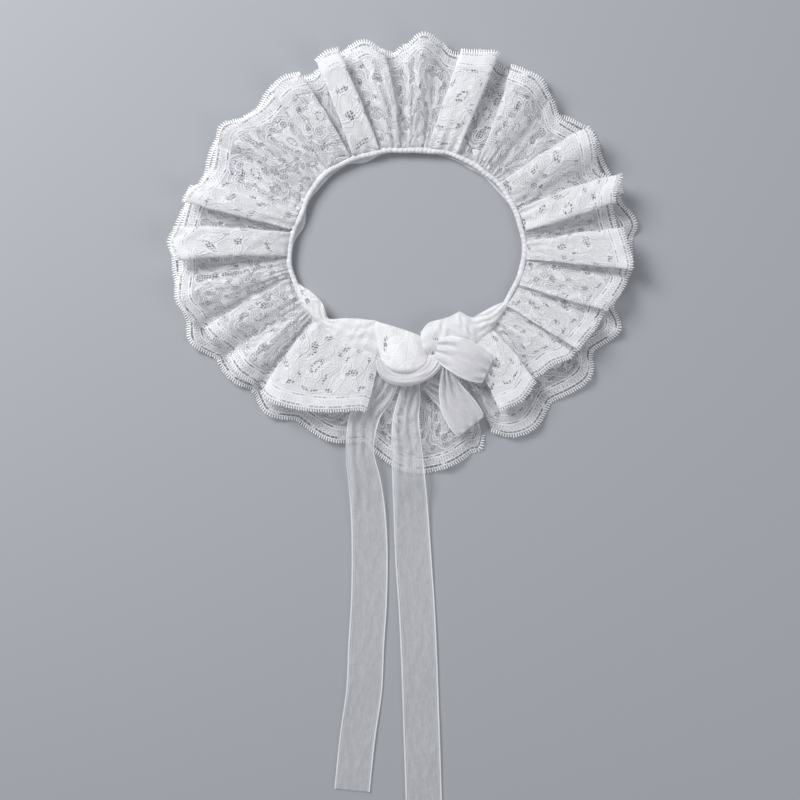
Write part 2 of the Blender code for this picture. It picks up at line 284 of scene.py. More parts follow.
Oval = namedtuple("Oval", "along inward long short tilt")
WINDOWS = [
    Oval(23.0, 14.5, 5.4, 4.4, 90), Oval(23.0, 30.5, 6.0, 3.0, 90),
    Oval(14.5, 43.5, 6.0, 2.8, 30), Oval(0.0, 47.5, 6.4, 2.6, 0), Oval(23.0, 47.5, 5.2, 3.2, 90),
    Oval(10.5, 54.5, 4.4, 2.2, 25), Oval(0.0, 59.5, 6.6, 1.8, 0),
]
LEAVES = [
    Oval(17.2, 14.0, 5.0, 2.0, 55), Oval(17.6, 24.0, 5.2, 2.0, 100),
    Oval(18.0, 36.5, 5.6, 2.1, 48), Oval(6.6, 50.5, 5.2, 1.8, 32), Oval(17.5, 50.5, 4.8, 1.9, 72),
    Oval(5.0, 56.5, 4.8, 1.6, 8), Oval(16.5, 58.5, 4.6, 1.8, -25),
]
EYELETS = [
    Oval(12.5, 38.0, 3.4, 1.8, 40), Oval(23.0, 38.5, 3.0, 2.4, 90),
    Oval(21.5, 21.0, 2.6, 1.8, 20), Oval(6.5, 44.5, 3.0, 1.4, 0), Oval(12.5, 12.0, 2.8, 1.2, -20),
    Oval(8.4, 19.0, 2.6, 1.1, 60), Oval(9.5, 33.0, 2.4, 1.0, -50), Oval(20.5, 55.0, 2.8, 1.3, 10),
    Oval(1.5, 53.5, 2.4, 1.0, 0), Oval(15.6, 30.0, 2.2, 1.0, 80), Oval(3.0, 11.5, 2.6, 0.9, 15),
]


def oval(along, inward, shape):
    """Distance to an oval's outline, less than 0 inside, in the units of its shorter half."""
    tilt = np.radians(shape.tilt)
    x, y = along - shape.along, inward - shape.inward
    lengthwise = (x * np.cos(tilt) + y * np.sin(tilt)) / shape.long
    crosswise = (y * np.cos(tilt) - x * np.sin(tilt)) / shape.short
    return (np.sqrt(lengthwise**2 + crosswise**2) - 1) * shape.short


def lobes(out, turn, count, ring, size):
    """Distance to a ring of round lobes, less than 0 inside one."""
    step = 2 * np.pi / count
    folded = np.mod(turn + step / 2, step) - step / 2
    return np.hypot(out * np.cos(folded) - ring, out * np.sin(folded)) - size


def bands(distance, pitch):
    """A wave that crosses 0 at every pitch of the distance."""
    return pitch / np.pi * np.sin(np.pi * distance / pitch)


def lace_fields(along, inward, cover):
    """Signed distances, in millimetres, to what is worked on the cloth at each place of the cut.

    The cut is first bent by slow waves, so that no two repeats are quite alike. A flower fills
    the middle of each repeat: a ring of round petals in net, inside a larger ring of lobes with
    two cords round it. figure is less than 0 inside a leaf or a petal, window where the cloth
    opens into coarse net, eyelet where it is pierced. arch is 0 along the cords round the
    lobes, vein along the inner line of the petals, and stem along the wavy stems. cover is
    carried through.
    """
    loose = np.clip((inward - 6.0) / 8.0, 0.0, 1.0)
    bent = along + loose * (1.2 * np.sin(inward / 4.3 + along / 13.0)
                            + 0.9 * np.sin(along / 7.3 - inward / 6.1 + 2.0))
    deep = inward + loose * (1.0 * np.sin(along / 5.7 + 1.0 + inward / 9.0)
                             + 0.9 * np.sin(along / 11.9 + inward / 5.0))
    a = (np.mod(bent / REPEAT, 1.0) - 0.5) * REPEAT
    side = np.abs(a)
    rise = deep - ROSE_INWARD
    out = np.hypot(a, 0.88 * rise)
    turn = np.arctan2(rise, a) + 0.5 * np.sin(along / 40.0)
    petals = np.minimum(lobes(out, turn + 0.3, PETALS, PETAL_RING, PETAL_SIZE), out - 1.7)
    cloud = np.minimum(lobes(out, turn, LOBES, LOBE_RING, LOBE_SIZE), out - LOBE_RING)
    leaves = np.minimum.reduce([oval(side, deep, leaf) for leaf in LEAVES])
    figure = np.minimum(leaves, petals)
    window = np.maximum(cloud + 1.6, 0.4 - petals)
    window = np.minimum.reduce([window] + [oval(side, deep, opening) for opening in WINDOWS])
    eyelet = np.minimum.reduce([oval(side, deep, cluster) for cluster in EYELETS])
    eyelet = np.minimum(eyelet, np.abs(out - 2.6) - 0.6)
    arch = bands(np.clip(cloud, -1.2, 3.6), 2.4)
    stem = side - (17.5 + 3.6 * np.sin(2 * np.pi * deep / 23.0))
    return {
        "worked": np.stack([figure, window, arch], axis=-1),
        "pierced": np.stack([eyelet, stem, figure + 1.2], axis=-1),
        "backed": np.stack([cover, cover, cover], axis=-1),
    }


def lace_look(name, tint_low, tint_high, worn_edge=False):
    """Fine ground, net, figures, cords and openwork read from the cut, holes clear with painted
    shade round them.

    Where a second layer backs it the net is nearly closed and whiter. worn_edge frays the
    far edge of a heading.
    """
    look = Look(name)
    uv = look.node("UVMap", uv_map="cut").outputs[0]
    cut = look.node("SeparateXYZ", ("Vector", uv))
    along, inward = cut.outputs["X"], cut.outputs["Y"]
    worked = look.node("Attribute", attribute_name="worked").outputs["Vector"]
    figure, window, arch = look.node("SeparateXYZ", ("Vector", worked)).outputs
    pierced = look.node("Attribute", attribute_name="pierced").outputs["Vector"]
    eyelet, stem, vein = look.node("SeparateXYZ", ("Vector", pierced)).outputs
    backed = look.node("Attribute", attribute_name="backed").outputs["Vector"]
    cover = look.node("SeparateXYZ", ("Vector", backed)).outputs["X"]

    def cord(distance, half_width):
        return look.ramp(look.math("ABSOLUTE", distance), half_width + 0.14, half_width - 0.10)

    def band(row):
        return look.both(look.ramp(inward, row.near - 0.1, row.near + 0.1),
                         look.ramp(inward, row.far + 0.1, row.far - 0.1))

    def less(value):
        return look.math("SUBTRACT", 1.0, value)

    def cells(size, randomness, low, high):
        placed = look.node("Mapping", ("Vector", uv), ("Scale", (1 / size[0], 1 / size[1], 1.0)))
        found = look.node("TexVoronoi", ("Vector", placed.outputs[0]), ("Scale", 1.0),
                          ("Randomness", randomness), voronoi_dimensions="2D",
                          feature="DISTANCE_TO_EDGE")
        return look.ramp(found.outputs["Distance"], high, low)

    def share_of(pitch, low, high):
        return look.ramp(look.math("FRACT", look.math("DIVIDE", along, pitch)), low, high)

    net = cells((1.9, 1.5), 0.45, 0.07, 0.13)
    streaks = cells((1.7, 0.75), 0.9, 0.18, 0.34)
    ground = cells((1.0, 0.8), 0.8, 0.10, 0.20)
    holes = look.node("TexVoronoi", ("Vector", uv), ("Scale", 0.60), ("Randomness", 0.4),
                      voronoi_dimensions="2D", feature="F1")
    hole = look.ramp(holes.outputs["Distance"], 0.42, 0.30)
    grain = look.node("TexNoise", ("Vector", uv), ("Scale", 1.3), ("Detail", 3.0),
                      noise_dimensions="2D")
    patch = look.node("TexNoise", ("Vector", uv), ("Scale", 0.13), ("Detail", 3.0),
                      noise_dimensions="2D")

    inside = look.ramp(inward, FIGURED_FROM, FIGURED_FROM + 0.5)
    open_net = look.both(look.ramp(window, 0.15, -0.15), inside)
    dense = look.both(look.ramp(figure, 0.15, -0.15), inside)
    outline = look.both(look.most(cord(figure, 0.26), cord(look.math("ADD", window, -0.3), 0.30),
                                  cord(arch, 0.26), cord(stem, 0.28), cord(vein, 0.14)), inside)
    pierce = look.both(look.ramp(eyelet, 0.2, -0.2), hole, inside)
    bars = share_of(BAR_PITCH, 0.20, 0.14)
    gaps = look.node("TexNoise", ("Vector", look.node("CombineXYZ", ("X", along)).outputs[0]),
                     ("Scale", 0.11), ("Detail", 2.0), noise_dimensions="2D")
    showing = look.both(look.ramp(gaps.outputs["Fac"], 0.40, 0.46),
                        look.math("MULTIPLY_ADD", cover, -0.7, 1.0))
    slot = look.both(band(SLOTS), less(bars), showing)
    dashed = look.both(band(DASHES), share_of(DASH_RUN, 0.62, 0.58), less(bars), showing)
    border = look.most(band(EDGE_CORD), band(SLOT_CORD), band(DASH_CORD), band(INNER_CORD))
    plain = look.most(look.both(ground, inside, less(open_net)),
                      look.both(streaks, less(inside)), look.both(net, open_net))
    veins = look.math("SINE", look.math("MULTIPLY", look.math("ADD", along, inward),
                                        2 * np.pi / VEIN_PITCH))
    ribbed = look.both(dense, look.ramp(veins, -0.9, -0.2))
    solid = look.most(plain, look.both(ribbed, 0.97), look.both(outline, 0.98), border,
                      look.both(cover, 0.86))
    opened = look.most(slot, dashed, pierce)
    solid = look.both(solid, less(look.both(opened, 0.8)))
    if worn_edge:
        worn = look.math("MULTIPLY_ADD", patch.outputs["Fac"], 2.5, inward)
        solid = look.both(solid, look.ramp(worn, 61.3, 58.0))

    raised = look.math("MULTIPLY_ADD", dense, 0.4, outline)
    raised = look.math("MULTIPLY_ADD", grain.outputs["Fac"], 0.5, raised)
    bump = look.node("Bump", ("Height", raised), ("Strength", 0.35 if worn_edge else 0.7),
                     ("Distance", 0.0004))
    tone = look.both(grain.outputs["Fac"], 0.4)
    tone = look.math("MULTIPLY_ADD", patch.outputs["Fac"], 0.8, tone)
    tone = look.math("ADD", tone, look.both(look.most(outline, dense, border), 0.25))
    tone = look.math("MULTIPLY_ADD", cover, 0.22, tone)
    tint = look.node("MixRGB", ("Fac", look.ramp(tone, 0.35, 0.95)),
                     ("Color1", (*tint_low, 1)), ("Color2", (*tint_high, 1)))
    # Painted shade: the threads left in holes, slots and dashes are darkened nearly to black.
    painted_hole_shade = look.node("MixRGB", ("Fac", look.both(opened, 0.92)), ("Color1", tint.outputs[0]),
                       ("Color2", (0.16, 0.165, 0.18, 1)))
    thread = look.node("BsdfPrincipled", ("Base Color", painted_hole_shade.outputs[0]), ("Roughness", 0.75),
                       ("Normal", bump.outputs[0]), ("Sheen Weight", 0.25))
    glow = look.node("BsdfTranslucent", ("Color", painted_hole_shade.outputs[0]))
    cloth = look.node("MixShader", ("Fac", 0.25), (1, thread.outputs[0]), (2, glow.outputs[0]))
    clear = look.node("BsdfTransparent")
    mixed = look.node("MixShader", ("Fac", solid), (1, clear.outputs[0]), (2, cloth.outputs[0]))
    return look.finish(mixed.outputs[0])


def drift_along(rng, size, along, spacing, past):
    """A cubic through random values of this size, one at each spacing, read along a strip."""
    knots = np.arange(0, along[-1] + past, spacing)
    return curve_through(knots, rng.normal(0, size, len(knots)), along)


def tier_sheet(columns, seam_z, floor_z, spacing, rows, gathers, seed):
    """Points of a gathered strip, the cut place of each and how far a second layer backs it.

    Each control column is (angle at the seam, angle at the edge, wave height, reach, cover). A
    cubic runs through them, and columns are then spaced evenly along the cut edge. From the
    seam outwards the angle moves from the first to the second and the wave grows from a tenth
    to all of its height. Gathers are fine ripples across the strip, strongest at the seam.
    Away from it the cloth is softly crumpled, by the product of two waves that bend each other.
    cover is how far a second layer behind closes the net, from 0 to 1.
    """
    controls = np.array(columns, float)
    order = np.arange(len(controls), dtype=float)
    fine = np.linspace(0, len(controls) - 1, len(controls) * 40)
    path = curve_through(order, controls, fine)
    edge = round_neck(path[:, 1], path[:, 3], path[:, 2])
    steps = np.linalg.norm(np.diff(edge, axis=0), axis=1)
    run = np.concatenate([[0.0], np.cumsum(steps)])
    count = int(run[-1] / spacing)
    along = np.linspace(0, run[-1], count)
    seam_angle, edge_angle, wave, reach, cover = curve_through(
        order, controls, np.interp(along, run, fine)
    ).T
    rng = np.random.default_rng(seed)
    out = np.linspace(0, 1, rows)[:, None]
    bend = drift_along(rng, 0.7, along, spacing=30.0, past=60)
    angles = seam_angle + (edge_angle - seam_angle) * out**0.85 + bend * np.sin(np.pi * out)
    seam = band_radius(angles) + 1.4
    floor = seam_z + (floor_z - seam_z) * np.minimum(1.0, out / 0.3)
    height = floor + wave * (0.1 + 0.9 * out**0.6)
    points = round_neck(angles, seam + (reach - seam) * out, height)
    inward = (1 - out) * np.linalg.norm(points[-1] - points[0], axis=-1)
    cut_along = along + 0 * out

    down = np.gradient(points, axis=0)
    across = np.gradient(points, axis=1)
    normal = np.cross(across, down)
    normal /= np.maximum(np.linalg.norm(normal, axis=-1), 1e-9)[..., None]
    phase = drift_along(rng, 1.1, along, spacing=25.0, past=80)
    strength = 0.6 + 0.4 * np.sin(along / 31.0 + rng.uniform(0, 6))
    ripple = strength * np.sin(2 * np.pi * along / 7.6 + phase)
    slow = np.sin(2 * np.pi * along / 17.0 + 1.7 * phase)
    size = gathers * (1.0 * np.exp(-out / 0.16) + 0.22 * np.exp(-out / 0.8))
    fade = np.minimum(1.0, out / 0.02)
    crumple = (np.sin(along / 3.9 + 2.2 * np.sin(inward / 8.0 + along / 17.0))
               * np.sin(inward / 5.6 + 1.7 * np.sin(along / 9.0)))
    crumple = CRUMPLE * crumple * np.minimum(1.0, out / 0.3)
    points = points + normal * (size * fade * (ripple + 0.5 * slow) + crumple)[..., None]
    return points, np.stack([cut_along, inward], axis=-1), np.clip(cover + 0 * out, 0, 1)


def picot_row(name, edge, outward, look):
    """Small thread loops along an edge.

    At each pitch along the edge a half oval rises outwards in the plane of the cloth, and a
    four-sided thread is carried along it.
    """
    steps = np.linalg.norm(np.diff(edge, axis=0), axis=1)
    run = np.concatenate([[0.0], np.cumsum(steps)])
    places = np.arange(0.5, run[-1] - 0.5, PICOT_PITCH)

    def read(values):
        return np.stack([np.interp(places, run, values[:, axis]) for axis in range(3)], axis=-1)

    centre = read(edge)
    tangent = read(np.gradient(edge, axis=0))
    tangent /= np.linalg.norm(tangent, axis=1)[:, None]
    outward = read(outward)
    outward -= tangent * np.sum(outward * tangent, axis=1)[:, None]
    outward /= np.linalg.norm(outward, axis=1)[:, None]
    normal = np.cross(tangent, outward)
    rng = np.random.default_rng(5)
    reach = PICOT_REACH * rng.uniform(0.85, 1.1, len(places))[:, None, None]
    turn = np.linspace(0, np.pi, 7)[None, :, None]
    side, rise = -np.cos(turn), np.sin(turn) ** 0.45
    middle = (centre[:, None] - 0.3 * outward[:, None] + outward[:, None] * reach * rise
              + tangent[:, None] * (PICOT_HALF_WIDTH * side + PICOT_SLANT * rise))
    radial = tangent[:, None] * side + outward[:, None] * np.sin(turn)
    ring = np.linspace(0, 2 * np.pi, 4, endpoint=False)[None, None, :, None]
    points = middle[:, :, None] + PICOT_THREAD * (
        np.cos(ring) * radial[:, :, None] + np.sin(ring) * normal[:, None, None]
    )
    faces = grid_faces(7, 4, around=True)
    ends = np.array([[0, 1, 2, 3], [27, 26, 25, 24]])
    faces = np.concatenate([faces, ends])
    every = (np.arange(len(places)) * 28)[:, None, None] + faces[None]
    return put_piece(name, points.reshape(-1, 3), every.reshape(-1, 4), look)


def thread_look():
    """Twisted white thread, slightly brighter than the net."""
    look = Look("picot_thread")
    place = look.node("TexCoord").outputs["Object"]
    grain = look.node("TexNoise", ("Vector", place), ("Scale", 2200.0), ("Detail", 2.0))
    tint = look.node("MixRGB", ("Fac", grain.outputs["Fac"]),
                     ("Color1", (0.90, 0.90, 0.92, 1)), ("Color2", (0.97, 0.97, 0.98, 1)))
    bump = look.node("Bump", ("Height", grain.outputs["Fac"]), ("Strength", 0.5),
                     ("Distance", 0.0002))
    shader = look.node("BsdfPrincipled", ("Base Color", tint.outputs[0]), ("Roughness", 0.7),
                       ("Normal", bump.outputs[0]), ("Sheen Weight", 0.2))
    return look.finish(shader.outputs[0])


# Lower tier. One strip of the lace in broad shallow waves, resting on the surface in each
# trough. Its picot edge shows past the upper tier's.

LOWER_FLOOR_Z = 0.4
Wave = namedtuple("Wave", "crest trough rise reach_crest reach_trough cover", defaults=(0.0,))
LOWER_WAVES = [
    Wave(35, 43, 3, 124.6, 119.6, 0.7), Wave(54, 61, 2.6, 126.6, 120.6),
    Wave(69, 75, 3, 128.6, 121.6), Wave(84, 92, 2.8, 126.6, 127.6),
    Wave(97, 104, 2.6, 130.6, 124.6), Wave(114, 122, 2.8, 121.6, 124.6),
    Wave(128, 134, 2.6, 119.6, 115.6), Wave(143, 152, 3, 123.6, 117.6),
    Wave(160, 167, 2.8, 117.6, 116.6), Wave(175, 184, 3, 120.6, 113.6),
    Wave(196, 209, 2.8, 119.6, 115.6), Wave(219, 228, 3, 122.6, 119.6),
    Wave(240, 251, 3, 127.6, 125.6), Wave(262, 270, 2.8, 133.6, 136.6),
    Wave(280, 287, 3, 135.6, 134.6), Wave(293, 300, 3, 136.6, 127.6),
    Wave(306, 312, 2.6, 126.6, 121.6), Wave(319, 327, 3, 124.6, 117.6),
    Wave(337, 346, 2.8, 118.6, 113.6), Wave(357, 364, 2.4, 125.6, 127.6),
    Wave(371, 378, 2.4, 125.6, 121.6),
]


def lower_columns():
    """A crest, and a trough that rests flat, for each wave."""
    made = [(19.5, 24.5, 1.4, 113.5, 0.0), (28.0, 28.5, 2.0, 121.5, 0.5)]
    for wave in LOWER_WAVES:
        made.append((wave.crest, wave.crest, wave.rise, wave.reach_crest, wave.cover))
        for side in (-1.2, 1.2):
            made.append((wave.trough + side, wave.trough + side, 0.0, wave.reach_trough, 0.0))
    made.append((385.5, 381.5, 0.0, 114.5, 0.0))
    return made


# Its tints are darker than the upper tier's: painted shade, for lying under the upper tier.
lower_lace_painted_shade = lace_look("lace_lower_net_painted_shade", (0.70, 0.70, 0.74), (0.85, 0.85, 0.88))
picot_thread = thread_look()
points, cut, cover = tier_sheet(lower_columns(), seam_z=2.1, floor_z=LOWER_FLOOR_Z,
                                spacing=1.0, rows=62, gathers=0.75, seed=3)
points[..., 2] = np.maximum(points[..., 2], 0.15)
lower_tier = put_piece(
    "lace_lower_tier", points.reshape(-1, 3), grid_faces(*points.shape[:2])[:, ::-1], lower_lace_painted_shade,
    cut.reshape(-1, 2), lace_fields(cut[..., 0].ravel(), cut[..., 1].ravel(), cover.ravel()),
)
lower_picots = picot_row("lace_lower_picots", points[-1], points[-1] - points[-3], picot_thread)
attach(lower_tier, "root")
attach(lower_picots, "root")
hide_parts("lace_lower")

# Upper tier. A second strip of the same lace, gathered into uneven soft pleats that lie over
# the first. Wide pleats are doubled: their sides fold back underneath, so the lace is whiter.

UPPER_FLOOR_Z = 5.2
UPPER_PATTERN_SHIFT = 9.0
Pleat = namedtuple(
    "Pleat",
    "seam_start seam_end edge_start edge_end rise tuck_start tuck_end"
    " reach_start reach_middle reach_end reach_trough cover",
)
UPPER_PLEATS = [
    Pleat(31, 46, 29, 43.5, 6.0, 5.0, 7.0, 105, 107, 104, 102, 0.95),
    Pleat(50, 58, 46, 57.5, 6.0, 0.0, 6.0, 103, 105, 110, 111, 0.75),
    Pleat(60, 70.5, 59, 69.5, 7.0, 6.0, 0.0, 111, 113, 115, 116, 0.7),
    Pleat(72, 82, 72.5, 82.5, 7.0, 7.0, 0.0, 117, 121, 124, 123, 0.55),
    Pleat(85, 94, 84.5, 95.5, 9.5, 11.0, 8.0, 126, 124, 121, 118, 0.9),
    Pleat(99, 110, 102.5, 109.6, 11.5, 9.0, 10.0, 119, 121, 126, 117, 0.95),
    Pleat(113, 127, 114.5, 124.5, 9.5, 0.0, 10.0, 117, 120, 122, 114, 0.7),
    Pleat(134, 142, 136.5, 151, 9.0, 0.0, 10.0, 118, 121, 119, 115, 0.35),
    Pleat(154, 170, 155.5, 165.5, 11.0, 11.0, 11.0, 121, 118, 116, 115, 1.0),
    Pleat(173, 182, 171, 182, 6.5, 0.0, 0.0, 119, 123, 116, 112, 0.0),
    Pleat(185.5, 196, 187.5, 197.5, 7.5, 7.0, 0.0, 114, 121, 120, 119, 0.3),
    Pleat(197, 211, 199.5, 206.8, 11.0, 6.0, 11.0, 120, 121, 119, 113, 1.0),
    Pleat(213, 226, 212, 221.5, 9.0, 7.0, 8.0, 118, 121, 120, 118, 0.4),
    Pleat(231, 243, 231.5, 242, 8.0, 0.0, 0.0, 121, 128, 126, 123, 0.1),
    Pleat(252, 260, 252.5, 258.3, 11.0, 0.0, 10.0, 126, 129, 131, 131, 0.8),
    Pleat(262, 273, 265, 273, 12.0, 12.0, 10.0, 134, 137, 133, 132, 0.9),
    Pleat(276, 282, 276.5, 289, 8.0, 0.0, 0.0, 134, 136, 131, 127, 0.0),
    Pleat(284, 295, 291.0, 298.5, 7.0, 7.0, 0.0, 125, 123, 119, 118, 0.2),
    Pleat(297, 303, 300.5, 311, 6.5, 0.0, 0.0, 121, 121, 118, 115, 0.2),
    Pleat(306, 344, 313.5, 345, 8.2, 11.0, 0.0, 117, 107, 96, 96, 0.9),
]


def upper_columns():
    """Control columns of each pleat, from the trough before it to the trough after.

    On a folded side the strip runs under the pleat by its tuck, turns up and back to the fold,
    and over its top. On a side with no tuck it slopes up from the trough instead.
    """
    made = []
    for number, pleat in enumerate(UPPER_PLEATS):
        first, last = number == 0, number == len(UPPER_PLEATS) - 1
        width = pleat.edge_end - pleat.edge_start
        seam_width = pleat.seam_end - pleat.seam_start
        under_start = np.degrees(pleat.tuck_start / pleat.reach_start)
        under_end = np.degrees(pleat.tuck_end / pleat.reach_end)

        def add(seam_share, edge_angle, height, reach):
            made.append((pleat.seam_start + seam_width * seam_share, edge_angle,
                         pleat.rise * height, reach, pleat.cover))

        if not first and pleat.tuck_start:
            add(0.06, pleat.edge_start + 0.55 * under_start, 0.03, pleat.reach_start - 1.0)
            add(0.12, pleat.edge_start + under_start, 0.16, pleat.reach_start - 0.8)
            add(0.07, pleat.edge_start + 0.5 * under_start, 0.42, pleat.reach_start - 0.3)
        rise_start = (0.80, 0.98) if pleat.tuck_start or first else (0.22, 0.48)
        rise_end = (0.80, 0.98) if pleat.tuck_end or last else (0.22, 0.48)
        add(0.0, pleat.edge_start, rise_start[0], pleat.reach_start)
        add(0.12, pleat.edge_start + 0.12 * width, rise_start[1], pleat.reach_start + 0.4)
        add(0.5, pleat.edge_start + 0.5 * width, 1.0, pleat.reach_middle)
        add(0.88, pleat.edge_end - 0.12 * width, rise_end[1], pleat.reach_end + 0.4)
        add(1.0, pleat.edge_end, rise_end[0], pleat.reach_end)
        if last:
            break
        if pleat.tuck_end:
            add(0.93, pleat.edge_end - 0.5 * under_end, 0.42, pleat.reach_end - 0.3)
            add(0.88, pleat.edge_end - under_end, 0.16, pleat.reach_end - 0.8)
            add(0.94, pleat.edge_end - 0.55 * under_end, 0.03, pleat.reach_end - 1.0)
        following = UPPER_PLEATS[number + 1]
        made.append(((pleat.seam_end + following.seam_start) / 2,
                     (pleat.edge_end + following.edge_start) / 2, 0.0, pleat.reach_trough, 0.0))
    return made


upper_lace = lace_look("lace_upper_net", (0.80, 0.80, 0.835), (0.94, 0.94, 0.96))
points, cut, cover = tier_sheet(upper_columns(), seam_z=4.0, floor_z=UPPER_FLOOR_Z,
                                spacing=0.95, rows=68, gathers=0.62, seed=11)
upper_tier = put_piece(
    "lace_upper_tier", points.reshape(-1, 3), grid_faces(*points.shape[:2])[:, ::-1], upper_lace,
    cut.reshape(-1, 2),
    lace_fields(cut[..., 0].ravel() + UPPER_PATTERN_SHIFT, cut[..., 1].ravel(), cover.ravel()),
)
upper_picots = picot_row("lace_upper_picots", points[-1], points[-1] - points[-3], picot_thread)
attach(upper_tier, "root")
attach(upper_picots, "root")
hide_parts("lace_upper")

# ---------------------------------------------------------------------------------------------
# Heading. The gathered top edge of the tiers. At the front it rolls over the band and leans
# into the neck in two flaps that meet under the knot. It is doubled, so it is almost solid
# white, with soft folds along it and pierced clusters near its edge. Round the back only its
# edge shows.

HEADING_FULLNESS = 1.5
HEADING_MEAN_RADIUS = 60.0
HeadingPoint = namedtuple("HeadingPoint", "angle depth lift outer")
LEFT_FLAP = [
    HeadingPoint(286, 0.6, 0.0, 1.0), HeadingPoint(290, 4.4, 0.4, 2.4),
    HeadingPoint(295, 6.8, 1.0, 4.0), HeadingPoint(301, 7.2, 1.2, 4.8),
    HeadingPoint(306, 4.8, 1.0, 5.0), HeadingPoint(310, 2.4, 0.6, 5.0),
    HeadingPoint(316, 7.0, 0.9, 7.0), HeadingPoint(324, 10.6, 1.2, 9.0),
    HeadingPoint(331, 12.4, 1.4, 10.0), HeadingPoint(343, 11.8, 1.4, 10.0),
    HeadingPoint(353, 10.4, 0.8, 9.0), HeadingPoint(361, 8.4, 0.3, 8.0),
    HeadingPoint(369, 6.2, 0.2, 7.0),
]
RIGHT_FLAP = [
    HeadingPoint(367, 9.6, 1.2, 7.0), HeadingPoint(370, 12.0, 1.8, 8.0),
    HeadingPoint(376, 14.2, 2.2, 9.0), HeadingPoint(387, 14.6, 2.4, 9.0),
    HeadingPoint(396, 13.6, 2.0, 8.0), HeadingPoint(399, 12.6, 1.6, 7.0),
    HeadingPoint(401, 8.4, 1.0, 6.6), HeadingPoint(406, 6.4, 0.8, 6.0),
    HeadingPoint(413, 4.4, 0.6, 4.6), HeadingPoint(420, 2.2, 0.2, 2.6),
]
BACK_EDGE = [
    HeadingPoint(52, 1.2, 0, 1.4), HeadingPoint(100, 1.4, 0, 1.4), HeadingPoint(146, 2.8, 0, 1.4),
    HeadingPoint(168, 1.4, 0, 1.4), HeadingPoint(196, 1.6, 0, 1.4),
    HeadingPoint(206, 3.6, 0, 1.4), HeadingPoint(218, 1.6, 0, 1.4),
    HeadingPoint(236, 2.8, 0, 1.4), HeadingPoint(248, 1.4, 0, 1.4),
    HeadingPoint(258, 4.0, 0, 1.4), HeadingPoint(268, 1.4, 0, 1.4),
    HeadingPoint(284, 1.6, 0, 1.4), HeadingPoint(293, 4.6, 0, 1.4),
    HeadingPoint(300, 4.0, 0, 1.4),
]


def heading_sheet(rows, inner_z, outer_z, fold, seed):
    """A strip from outside the band to its free edge inside the neck.

    It rises over the band in a soft arch. Low folds run along it, three to its depth, and
    wander across it as they go, and its free edge waves in and out a little.
    """
    angles = np.arange(rows[0].angle, rows[-1].angle, 0.5)
    places = column(rows, "angle")
    shape = np.stack([column(rows, name) for name in ("depth", "lift", "outer")], axis=1)
    depth, lift, outer = curve_through(places, shape, angles).T
    rng = np.random.default_rng(seed)
    knots = np.arange(angles[0] - 5, angles[-1] + 12, 6.0)
    drift = curve_through(knots, rng.normal(0, 0.8, len(knots)), angles)
    size = curve_through(knots, rng.uniform(0.5, 1.2, len(knots)), angles)
    edge = curve_through(knots, rng.normal(0, 0.3, len(knots)), angles)
    out = np.linspace(0, 1, 26)[:, None]
    radius = band_radius(angles)
    reach = radius - depth - edge + (outer + depth + edge) * out
    arch = np.sin(np.pi * np.clip(out * 1.05, 0, 1)) * (0.5 + lift * 0.6)
    height = inner_z + lift + (outer_z - inner_z - lift) * out**1.5 + arch
    height = height + fold * size * np.sin(2 * np.pi * (out * 3.0 + drift / 2)) * (1 - 0.5 * out)
    height = height + fold * 0.35 * np.sin(angles * 0.9 + 3 * drift) * np.sin(np.pi * out)
    points = round_neck(angles + 0 * out, reach, height)
    along = np.radians(angles - angles[0]) * HEADING_MEAN_RADIUS * HEADING_FULLNESS
    inward = (1 - out) * (outer + depth)
    return points, np.stack([along + 0 * out, 60.0 - inward], axis=-1)


SwagRow = namedtuple("SwagRow", "share x y half_width drop slant z")
COWL = [
    SwagRow(0.00, -6.6, -46.4, 13.6, -1.0, 4.4, 8.9),
    SwagRow(0.18, -6.4, -49.8, 13.9, 0.4, 3.8, 10.4),
    SwagRow(0.42, -5.4, -55.0, 14.0, 2.6, 2.4, 12.4),
    SwagRow(0.70, -4.2, -59.0, 13.9, 6.0, 1.1, 14.6),
    SwagRow(0.92, -3.3, -61.0, 13.7, 9.0, 0.3, 15.8),
    SwagRow(1.00, -3.0, -61.3, 13.7, 10.0, 0.0, 14.8),
]


def swag_points(rows, count, crease, ends):
    """Half ovals nested from the back of a swag to its front rim.

    Each row hangs from the swag's left to its right with its own drop, its left end above its
    right by its slant. Its height is greatest in the middle and falls to its share at the ends
    towards both of them. Creases run along the rows, strongest at the ends, and shallow dimples
    lie across.
    """
    table = np.stack([column(rows, name) for name in SwagRow._fields[1:]], axis=1)
    share = np.linspace(0, 1, count)
    x, y, half, drop, slant, z = curve_through(column(rows, "share"), table, share).T
    turn = np.linspace(-0.06, np.pi + 0.06, 110)[None, :]
    hang = np.sin(np.clip(turn, 0, np.pi))
    share, x, y, half, drop, slant, z = (
        row[:, None] for row in (share, x, y, half, drop, slant, z)
    )
    swell = ends + (1 - ends) * hang**0.7
    folds = (0.8 * np.sin(21 * share + 2.2 * np.cos(turn)) + 0.5 * np.sin(37 * share + 3.0 * turn)
             ) * crease * (1 - 0.5 * hang) * np.minimum(1, share / 0.3)
    dimple = 0.35 * np.sin(3 * turn + 5 * share) * hang + 0.2 * np.sin(7 * turn - 6 * share) * hang
    height = 7.6 + (z - 7.6) * swell + folds + dimple
    across = RING_CENTRE[0] + x - half * np.cos(turn)
    down = RING_CENTRE[1] + y - drop * hang**0.9 + slant * np.cos(turn)
    points = np.stack([across, down, height], axis=-1)
    cut = np.stack([(share - 0.5) * 19.0 + 0 * turn, (turn * 16.0) + 0 * share], axis=-1)
    return points, cut


def heading_fields(cut, clusters):
    """The lace's own fields along a heading's cut, with clusters of holes added."""
    fields = lace_fields(cut[:, 0], cut[:, 1], np.ones(len(cut)))
    found = np.minimum.reduce([oval(cut[:, 0], cut[:, 1], each) for each in clusters])
    fields["pierced"][:, 0] = np.minimum(np.maximum(fields["pierced"][:, 0], 0.5), found)
    return fields


